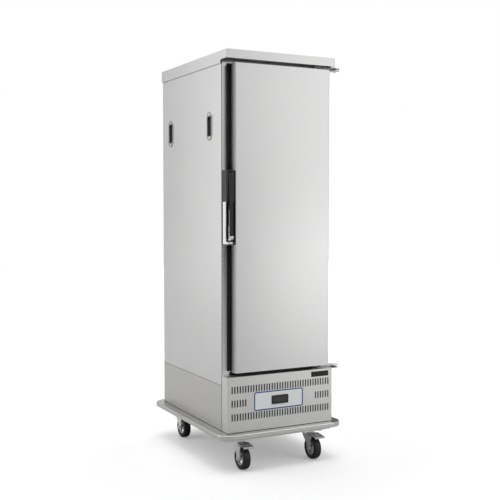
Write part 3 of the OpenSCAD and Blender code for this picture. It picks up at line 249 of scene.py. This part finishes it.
mats = {
    "panel_steel": brushed("satin_panel", (0.76, 0.76, 0.755), 0.36),
    "cap_steel": brushed("satin_cap", (0.76, 0.76, 0.755), 0.36, ALONG_X, 0.02, 0.012),
    "door_steel": brushed("satin_door", (0.76, 0.76, 0.755), 0.36),
    "cover_steel": brushed("satin_cover", (0.77, 0.768, 0.75), 0.36, ALONG_X),
    # The lower panels get a darker copy of the satin steel: painted shade low on the cart
    "lower_steel": brushed("satin_lower_shaded", (0.66, 0.655, 0.635), 0.36),
    # Its faces that look up are painted darker: painted shade
    "platform_steel": brushed("satin_platform_shaded_top", (0.7, 0.7, 0.685), 0.34, EVEN, 0.002, 0.008,
                              shaded_top=(0.38, 0.38, 0.37)),
    "liner_steel": brushed("satin_liner", (0.74, 0.74, 0.74), 0.32, (1, 1, 0.05), 0.008, 0.01),
    "polished_steel": brushed("polished_sheet", (0.76, 0.765, 0.77), 0.2),
    # The hinges get a brighter copy of the satin steel: painted light against the shade round them
    "hinge_steel": brushed("satin_hinge_brightened", (0.98, 0.98, 0.975), 0.42, EVEN, 0.004, 0.01),
    # The grips get a darker copy of the satin steel: painted shade of their recesses
    "grip_steel": brushed("satin_grip_shaded", (0.42, 0.42, 0.42), 0.3),
    "zinc": plated("zinc_plate", (0.9, 0.9, 0.9), 0.36, 70, 0.004, 0.015),
    "pedal_steel": plated("pressed_steel", (0.55, 0.55, 0.54), 0.3, 60, 0.006, 0.03),
    "hub_zinc": plated("bright_hub", (0.88, 0.88, 0.88), 0.34, 120, 0.006, 0.03),
    "copper_aluminium": plated("fin_metal", (0.78, 0.77, 0.75), 0.34, 300, 0.1),
    "copper": plated("copper_tube", (0.8, 0.46, 0.31), 0.26, 60, 0.05, 0.16),
    "chrome": mirror_chrome("chrome_plate", (0.88, 0.885, 0.89), 0.08),
    "satin_chrome": mirror_chrome("satin_chrome", (0.9, 0.9, 0.9), 0.24),
    "dark_plastic": moulded("dark_plastic", (0.028, 0.028, 0.029), 0.4, 1300, 0.06),
    "black_plastic": moulded("black_plastic", (0.011, 0.011, 0.012), 0.34, 1600, 0.05),
    "badge_black": moulded("badge_black", (0.004, 0.004, 0.004), 0.45, 1600, 0.04),
    # Near-black filter foam: painted shade behind the cover's slots
    "filter_foam_shade": moulded("filter_foam_shade", (0.004, 0.004, 0.004), 0.9, 600, 0.5, 0.2),
    "gasket_rubber": moulded("gasket_rubber", (0.06, 0.06, 0.063), 0.6, 900, 0.15),
    # Near-black sealant: painted shade of the seams and gaps it lies in
    "sealant_dark_as_shade": moulded("sealant_dark_as_shade", (0.02, 0.02, 0.021), 0.55, 900, 0.1),
    "dark_metal": moulded("motor_paint", (0.07, 0.07, 0.075), 0.5, 700, 0.2),
    "black_paint": moulded("enamel", (0.02, 0.02, 0.022), 0.22, 300, 0.08, 0.1, coat=0.5),
    "blue_ink": moulded("blue_ink", (0.035, 0.10, 0.30), 0.34, 900, 0.04, 0.06),
    "light_plastic": printed_film("plate_film", (0.93, 0.94, 0.95)),
    "display_glass": dark_glass("display_glass", (0.02, 0.02, 0.018), 0.16),
    "foam": foamed("foam", (0.86, 0.8, 0.6)),
    "tyre": tread_rubber("tyre_rubber", (0.012, 0.012, 0.0125)),
}

# Nodes whose finish differs from that of their slot in the record
special = {
    "door_skin": "door_steel", "vent_cover": "cover_steel", "top_cap": "cap_steel",
    "inner_liner": "liner_steel", "door_liner": "liner_steel",
    "left_tray_rack": "liner_steel", "right_tray_rack": "liner_steel",
    "left_grips": "grip_steel", "right_grips": "grip_steel",
    "latch_lever": "black_plastic", "badge_plate": "badge_black",
    "hinge_brackets": "hinge_steel", "door_hinge_plates": "hinge_steel",
    "latch_bezel": "satin_chrome", "lever_tip": "satin_chrome",
    "front_left_pedal": "pedal_steel", "front_right_pedal": "pedal_steel",
}
for part in frame["record"]["subparts"]:
    name = part["node"]
    slots = node[name].data.materials
    slots.clear()
    slots.append(mats[special.get(name, part["material_slot"])])


# ---------------------------------------------------------------- mesh helpers

def row(bm, points):
    return [bm.verts.new(p) for p in points]


def skin(bm, rows, closed=False):
    """Faces between rows, each of them a ring of points.

    closed joins the last row to the first one. Otherwise both end rows get a cap.
    """
    for a, b in zip(rows, rows[1:] + rows[:1] if closed else rows[1:]):
        for i in range(len(a)):
            j = (i + 1) % len(a)
            bm.faces.new((a[i], a[j], b[j], b[i]))
    if not closed:
        bm.faces.new(rows[0][::-1])
        bm.faces.new(rows[-1])


def rounded(x0, z0, x1, z1, r, n=6):
    """Outline of a rectangle in X and Z with round corners, n steps to a corner."""
    points = []
    for cx, cz, start in ((x1 - r, z1 - r, 0), (x0 + r, z1 - r, 90), (x0 + r, z0 + r, 180),
                          (x1 - r, z0 + r, 270)):
        for i in range(n + 1):
            t = math.radians(start + 90 * i / n)
            points.append((cx + r * math.cos(t), cz + r * math.sin(t)))
    return points


def within(lo, hi, margin, r):
    """Round-cornered outline inside a box's face, or outside it by a negative margin."""
    return rounded(lo.x + margin, lo.z + margin, hi.x - margin, hi.z - margin, r)


def upright(bm, outline, y):
    """The row of an X and Z outline at a depth y."""
    return row(bm, ((x, y, z) for x, z in outline))


def slab(bm, outline, y0, y1):
    """Plate of an outline, from y0 to y1."""
    skin(bm, [upright(bm, outline, y) for y in (y0, y1)])


def ring_plate(bm, outer, inner, y0, y1):
    """Flat ring between two outlines with the same number of points, from y0 to y1."""
    skin(bm, [upright(bm, outline, y) for outline, y in
              ((outer, y0), (inner, y0), (inner, y1), (outer, y1))], closed=True)


def tube(bm, x, y, inner, outer, z0, z1, sides=48):
    """Tube round the upright axis at x and y."""
    angles = [2 * math.pi * i / sides for i in range(sides)]
    skin(bm, [row(bm, ((x + r * math.cos(a), y + r * math.sin(a), z) for a in angles))
              for r, z in ((inner, z0), (outer, z0), (outer, z1), (inner, z1))], closed=True)


def framed(bm, lo, hi, section):
    """Section of (inset, y) points carried round a box's face, with mitred corners."""
    skin(bm, [row(bm, ((lo.x + d, y, lo.z + d), (hi.x - d, y, lo.z + d),
                       (hi.x - d, y, hi.z - d), (lo.x + d, y, hi.z - d)))
              for d, y in section], closed=True)


def mesh_object(name, bm, smooth=0.0):
    """Object of the mesh; smooth is the angle in degrees above which an edge stays sharp."""
    mesh = bpy.data.meshes.new(name)
    bmesh.ops.recalc_face_normals(bm, faces=bm.faces)
    bm.to_mesh(mesh)
    bm.free()
    thing = bpy.data.objects.new(name, mesh)
    scene.collection.objects.link(thing)
    if smooth:
        for p in mesh.polygons:
            p.use_smooth = True
        mesh.set_sharp_from_angle(angle=math.radians(smooth))
    return thing


def make(name, bm, body, material, smooth=0.0):
    """Piece of the mesh that rides on a body, with its finish."""
    piece = mesh_object(name, bm, smooth)
    piece.data.materials.append(mats[material])
    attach(piece, body)
    return piece


def bead(name, paths, radius, body="cabinet", material="sealant_dark_as_shade", sides=8):
    """Round bead laid along straight runs.

    Each path is a list of corners, closed if it ends where it starts.
    """
    bm = bmesh.new()
    angles = [2 * math.pi * k / sides for k in range(sides)]
    for path in paths:
        closed = path[0] == path[-1]
        corners = [Vector(c) for c in (path[:-1] if closed else path)]
        rings = []
        for i, corner in enumerate(corners):
            has_next = closed or i < len(corners) - 1
            ahead = corners[(i + 1) % len(corners)] - corner if has_next else None
            behind = corner - corners[i - 1] if closed or i else None
            into = (behind or ahead).normalized()
            out = (ahead or behind).normalized()
            along = (into + out).normalized()
            up = Vector((0, 0, 1)) if abs(along.z) < 0.9 else Vector((0, 1, 0))
            across = along.cross(up).normalized()
            up = across.cross(along)
            mitre = 1 / max(0.3, along.dot(out))
            rings.append(row(bm, (corner + across * radius * mitre * math.cos(a)
                                  + up * radius * math.sin(a) for a in angles)))
        skin(bm, rings, closed)
    return make(name, bm, body, material, smooth=50)


def separate_solids(mesh):
    """Corner boxes of a mesh's separate solids, whose vertices may be unwelded."""
    key = {}
    root = []

    def find(i):
        while root[i] != i:
            root[i] = root[root[i]]
            i = root[i]
        return i

    index = []
    for v in mesh.vertices:
        k = tuple(round(c, 6) for c in v.co)
        if k not in key:
            key[k] = len(root)
            root.append(len(root))
        index.append(key[k])
    for p in mesh.polygons:
        first = find(index[p.vertices[0]])
        for v in p.vertices[1:]:
            root[find(index[v])] = first
    groups = {}
    for k, i in key.items():
        groups.setdefault(find(i), []).append(k)
    return [(Vector(map(min, zip(*g))), Vector(map(max, zip(*g)))) for g in groups.values()]


# ---------------------------------------------------------------- pieces

panel_lo, panel_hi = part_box("left_panel")
cover_lo, cover_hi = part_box("vent_cover")
skin_lo, skin_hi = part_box("door_skin")
side, face, rear, seam = panel_lo.x, panel_lo.y, panel_hi.y, panel_lo.z
front, foot = cover_lo.y, cover_lo.z
BOTH_SIDES = (1, -1)

# Dark sealant in the seams of the body, its darkness painted shade of the seam lines
bead("side_seam_sealant_shade",
     [[(s * side, face + 0.001, seam - 0.0003), (s * side, rear - 0.002, seam - 0.0003)]
      for s in BOTH_SIDES], radius=0.0009)
flush = side - 0.0002
bead("cover_seam_sealant_shade",
     [[(s * flush, face, foot + 0.001), (s * flush, face, cover_hi.z)] for s in BOTH_SIDES],
     radius=0.0008)
bead("foot_sealant_shade",
     [[(side, front, foot), (-side, front, foot), (-side, rear, foot), (side, rear, foot),
       (side, front, foot)]], radius=0.0019)
hem = side + 0.0017
bead("front_edge_sealant_shade",
     [[(s * hem, face, seam + 0.001), (s * hem, face, panel_hi.z)] for s in BOTH_SIDES],
     radius=0.0012)

# Dark seals on the face frame, their darkness painted shade of the gaps: beside the door above and
# below the latch, and under the door
latch_lo, latch_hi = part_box("latch_housing")
bracket_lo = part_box("hinge_brackets")[0]
clear = 0.004
strip_left, strip_right = skin_lo.x - 0.015, skin_lo.x + 0.002
strip_front, strip_back = face - 0.0022, face + 0.0004
bm = bmesh.new()
for corners in ((strip_left, skin_lo.z + 0.002, strip_right, latch_lo.z - clear),
                (strip_left, latch_hi.z + clear, strip_right, skin_hi.z + 0.002),
                (skin_lo.x - clear, cover_hi.z + 0.0002, bracket_lo.x - clear,
                 skin_lo.z - 0.0012)):
    slab(bm, rounded(*corners, r=0.002, n=3), strip_front, strip_back)
shade_strip = make("frame_shade_strip", bm, "cabinet", "sealant_dark_as_shade", smooth=40)
soften = shade_strip.modifiers.new("Bevel", "BEVEL")
soften.width = 0.0009
soften.segments = 3
soften.limit_method = "ANGLE"
soften.angle_limit = math.radians(40)
soften.harden_normals = True

# Nylon sleeves over the bushes of both hinges, between the bracket's arm and the door's plate
pin_lo, pin_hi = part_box("hinge_pins")
plate_lo, plate_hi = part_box("door_hinge_plates")
sleeve_inner, sleeve_outer, gap = 0.00915, 0.0108, 0.0005
bm = bmesh.new()
for z0, z1 in ((bracket_lo.z + 0.0042, plate_lo.z - gap), (plate_hi.z + gap, plate_hi.z + 0.0043)):
    tube(bm, (pin_lo.x + pin_hi.x) / 2, (pin_lo.y + pin_hi.y) / 2, sleeve_inner, sleeve_outer,
         z0, z1)
make("hinge_sleeves", bm, "cabinet", "black_plastic", smooth=40)

# Chrome line up the lever's outer edge, from its foot: a painted highlight of that edge
lever_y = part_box("latch_lever")[0].y + 0.0004
tip_lo, tip_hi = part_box("lever_tip")
line_x, line_top = tip_lo.x + 0.0018, 1.104
bead("lever_edge_highlight", [[(line_x, lever_y, tip_hi.z - 0.001), (line_x, lever_y, line_top)]],
     radius=0.0009, body="lever", material="satin_chrome")

# Filter mat behind the cover's slots, with a hole for the controller; its near-black is painted
# shade of the space behind the slots
controller_lo, controller_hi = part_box("controller")
mat_front, mat_back, mat_corner = front + 0.0022, front + 0.0052, 0.003
inset_x, inset_z = 0.008, 0.006
bm = bmesh.new()
ring_plate(bm, rounded(cover_lo.x + inset_x, cover_lo.z + inset_z, cover_hi.x - inset_x,
                       cover_hi.z - inset_z, mat_corner),
           within(controller_lo, controller_hi, -0.006, mat_corner), mat_front, mat_back)
make("filter_mat_shade", bm, "cabinet", "filter_foam_shade")

# Black crosses set in the heads of the body's screws: painted shade of their cross recesses
arm, half = 0.0024, 0.0005
sunk, proud = -0.0004, 0.00006
cross = [(half, half), (half, arm), (-half, arm), (-half, half), (-arm, half), (-arm, -half),
         (-half, -half), (-half, -arm), (half, -arm), (half, -half), (arm, -half), (arm, half)]
bm = bmesh.new()
for lo, hi in separate_solids(node["body_screws"].data):
    size = hi - lo
    middle = (lo + hi) / 2
    axis = min(range(3), key=lambda i: size[i])
    outward = {0: 1 if middle.x > 0 else -1, 1: -1, 2: 1}[axis]
    head = (hi if outward > 0 else lo)[axis]
    u, v = [i for i in range(3) if i != axis]
    layers = []
    for rise in (sunk, proud):
        points = []
        for p, q in cross:
            c = middle.copy()
            c[axis] = head + outward * rise
            c[u] += p
            c[v] += q
            points.append(c)
        layers.append(row(bm, points))
    skin(bm, layers)
make("screw_recess_shade", bm, "cabinet", "black_paint")

# Magnet gasket: a foot on the door, a fold, and the soft bulb that meets the frame.
# Its section is (inset from the outer edge, share of the height) points round the strip.
gasket_lo, gasket_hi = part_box("door_gasket")
gasket_w, gasket_h = 0.012, gasket_hi.y - gasket_lo.y
bulb = [(gasket_w * (0.42 + 0.4 * math.cos(t)), 0.7 + 0.3 * math.sin(t))
        for t in (math.radians(180 - 18 * i) for i in range(11))]
profile = [(0.0, 0.0), (0.0, 0.25), (0.001, 0.34), (0.0007, 0.45), *bulb,
           (gasket_w * 0.86, 0.42), (gasket_w, 0.3), (gasket_w, 0.0)]
bm = bmesh.new()
framed(bm, gasket_lo, gasket_hi, [(d, gasket_lo.y + gasket_h * share) for d, share in profile])
gasket = make("magnet_gasket", bm, "door", "gasket_rubber", smooth=40)
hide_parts("door_gasket")

# Shallow pressed pan on the door's liner, inside the gasket.
# Its section is (inset from the pan's edge, height off the liner) points.
pan_edge, pan_h = gasket_w + 0.012, 0.0024
liner_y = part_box("door_liner")[1].y
steps = [(0.0, -0.0004), (0.0, 0.0002), (0.003, pan_h * 0.5), (0.006, pan_h), (0.03, pan_h),
         (0.034, pan_h * 0.55), (0.038, pan_h * 0.45)]
bm = bmesh.new()
rows = []
for d, rise in steps:
    margin = pan_edge + d
    corner = max(0.004, 0.03 - margin * 0.2)
    rows.append(upright(bm, within(gasket_lo, gasket_hi, margin, corner), liner_y + rise))
skin(bm, rows)
make("door_liner_pan", bm, "door", "liner_steel", smooth=40)

# Blue line printed round the control plate
lo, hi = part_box("control_plate")
edge, line_w = 0.0005, 0.0052
bm = bmesh.new()
ring_plate(bm, within(lo, hi, edge, r=0.0095), within(lo, hi, edge + line_w, r=0.0045),
           lo.y - 0.00025, lo.y + 0.0002)
make("plate_border", bm, "cabinet", "blue_ink")

# Tinted window in the controller's front
bm = bmesh.new()
slab(bm, within(controller_lo, controller_hi, margin=0.0074, r=0.002),
     controller_lo.y + 0.0002, controller_lo.y + 0.0008)
make("display_window", bm, "cabinet", "display_glass")


# ---------------------------------------------------------------- floor and surroundings

# The floor's own light, dimmed round the cart as a painted shadow, as (share of GLOW_REACH from the
# middle, level)
GLOW_REACH = 3.0
GLOW_AND_SHADOW = ((0.0, 0.27), (0.12, 0.27), (0.19, 0.06), (0.3, 0.0), (0.45, 0.1), (1.0, 0.55))
FLOOR_SIZE = 24


def floor_finish():
    """White floor, darker to what it lights than to the camera, which also sees light from it,
    least round the cart: a painted shadow.
    """
    mat = bpy.data.materials.new("floor_white")
    t = Tree(mat, clear=True)
    seen = t.add("ShaderNodeLightPath").outputs["Is Camera Ray"]
    matt = t.add("ShaderNodeBsdfDiffuse", {
        "Color": t.mix(seen, (0.4, 0.4, 0.4, 1), (0.78, 0.78, 0.78, 1))})

    place = t.add("ShaderNodeTexCoord").outputs["Object"]
    away = t.add("ShaderNodeVectorMath", {0: place}, operation="LENGTH").outputs["Value"]
    # Painted shadow: the floor's light dips to nothing round the cart, and rises far out
    glow_and_shadow = t.add("ShaderNodeValToRGB", {0: t.ramp(away, 0.0, GLOW_REACH, 0.0, 1.0)})
    glow_and_shadow.color_ramp.interpolation = "B_SPLINE"
    elements = glow_and_shadow.color_ramp.elements
    while len(elements) < len(GLOW_AND_SHADOW):
        elements.new(0.5)
    for element, (at, level) in zip(elements, GLOW_AND_SHADOW):
        element.position = at
        element.color = (level, level, level, 1)

    light = t.add("ShaderNodeEmission", {
        "Color": WHITE, "Strength": t.math("MULTIPLY", seen, glow_and_shadow.outputs[0])})
    both = t.add("ShaderNodeAddShader", {0: matt.outputs[0], 1: light.outputs[0]})
    t.add("ShaderNodeOutputMaterial", {"Surface": both.outputs[0]})
    return mat


bm = bmesh.new()
bmesh.ops.create_grid(bm, x_segments=1, y_segments=1, size=FLOOR_SIZE / 2)
floor = mesh_object("floor", bm)
floor.data.materials.append(floor_finish())

# White behind the cart, and a dome that gets brighter upwards for all that it lights
world = bpy.data.worlds.new("studio")
scene.world = world
w = Tree(world, clear=True)
seen = w.add("ShaderNodeLightPath").outputs["Is Camera Ray"]
way = w.add("ShaderNodeTexCoord").outputs["Generated"]
height = w.add("ShaderNodeSeparateXYZ", {0: way}).outputs["Z"]
dome = w.add("ShaderNodeBackground", {
    "Color": WHITE, "Strength": w.ramp(height, 0.35, 1.0, 0.0, 1.8)})
plain = w.add("ShaderNodeBackground", {"Color": WHITE, "Strength": 1.0})
either = w.add("ShaderNodeMixShader", {0: seen, 1: dome.outputs[0], 2: plain.outputs[0]})
w.add("ShaderNodeOutputWorld", {"Surface": either.outputs[0]})


# ---------------------------------------------------------------- lamps and camera

# Rectangular lamps: centre, point they face, width, height and the brightness of the face
SOFTBOXES = {
    "front_right_box": ((2.9, -3.6, 2.15), (2.9, 0, 2.15), 2.6, 3.4, 1.24),
    "front_box": ((0.9, -4.4, 2.4), (0.4, 0, 1.2), 2.0, 2.4, 0.64),
    "right_low_box": ((1.35, -2.09, 0.45), (0, -0.355, 0.45), 1.0, 0.9, 0.62),
    "left_box": ((-3.4, 4.4, 1.9), (0, 2.6, 1.6), 3.0, 3.4, 1.1),
    "left_side_box": ((-3.9, 1.6, 1.9), (-0.258, 0, 1.2), 2.2, 3.4, 2.2),
    "left_low_box": ((-1.70, 1.80, 0.35), (-0.258, 0, 0.35), 0.95, 0.66, 0.12),
    "right_side_box": ((4.4, 1.2, 1.9), (0.258, 0, 1.2), 3.4, 3.4, 1.0),
    "rear_box": ((0.8, 5.2, 1.9), (0, 0.35, 1.2), 3.4, 3.4, 0.9),
    "top_box": ((0.3, 0.3, 4.0), (0.3, 0.3, 0), 3.0, 3.0, 1.75),
}
for name, (centre, target, width, height, level) in SOFTBOXES.items():
    data = bpy.data.lights.new(name, "AREA")
    data.shape = "RECTANGLE"
    data.size = width
    data.size_y = height
    data.energy = level * width * height * math.pi
    lamp = bpy.data.objects.new(name, data)
    scene.collection.objects.link(lamp)
    lamp.location = centre
    lamp.rotation_euler = (Vector(target) - Vector(centre)).to_track_quat("-Z", "Y").to_euler()
    lamp.visible_camera = False

# The photograph's camera: its place, how far it looks down and turns, and its lens in mm
EYE = (-1.8366, -3.6050, 1.1134)
LOOK_DOWN, TURN = 2.77, -27.42
LENS, SENSOR = 62.75, 36

camera_data = bpy.data.cameras.new("camera")
camera_data.lens = LENS
camera_data.sensor_width = SENSOR
camera_data.clip_end = 100
camera = bpy.data.objects.new("camera", camera_data)
scene.collection.objects.link(camera)
camera.location = EYE
camera.rotation_euler = (math.radians(90 - LOOK_DOWN), 0, math.radians(TURN))
scene.camera = camera
scene.view_settings.view_transform = "Standard"

bpy.context.view_layer.update()
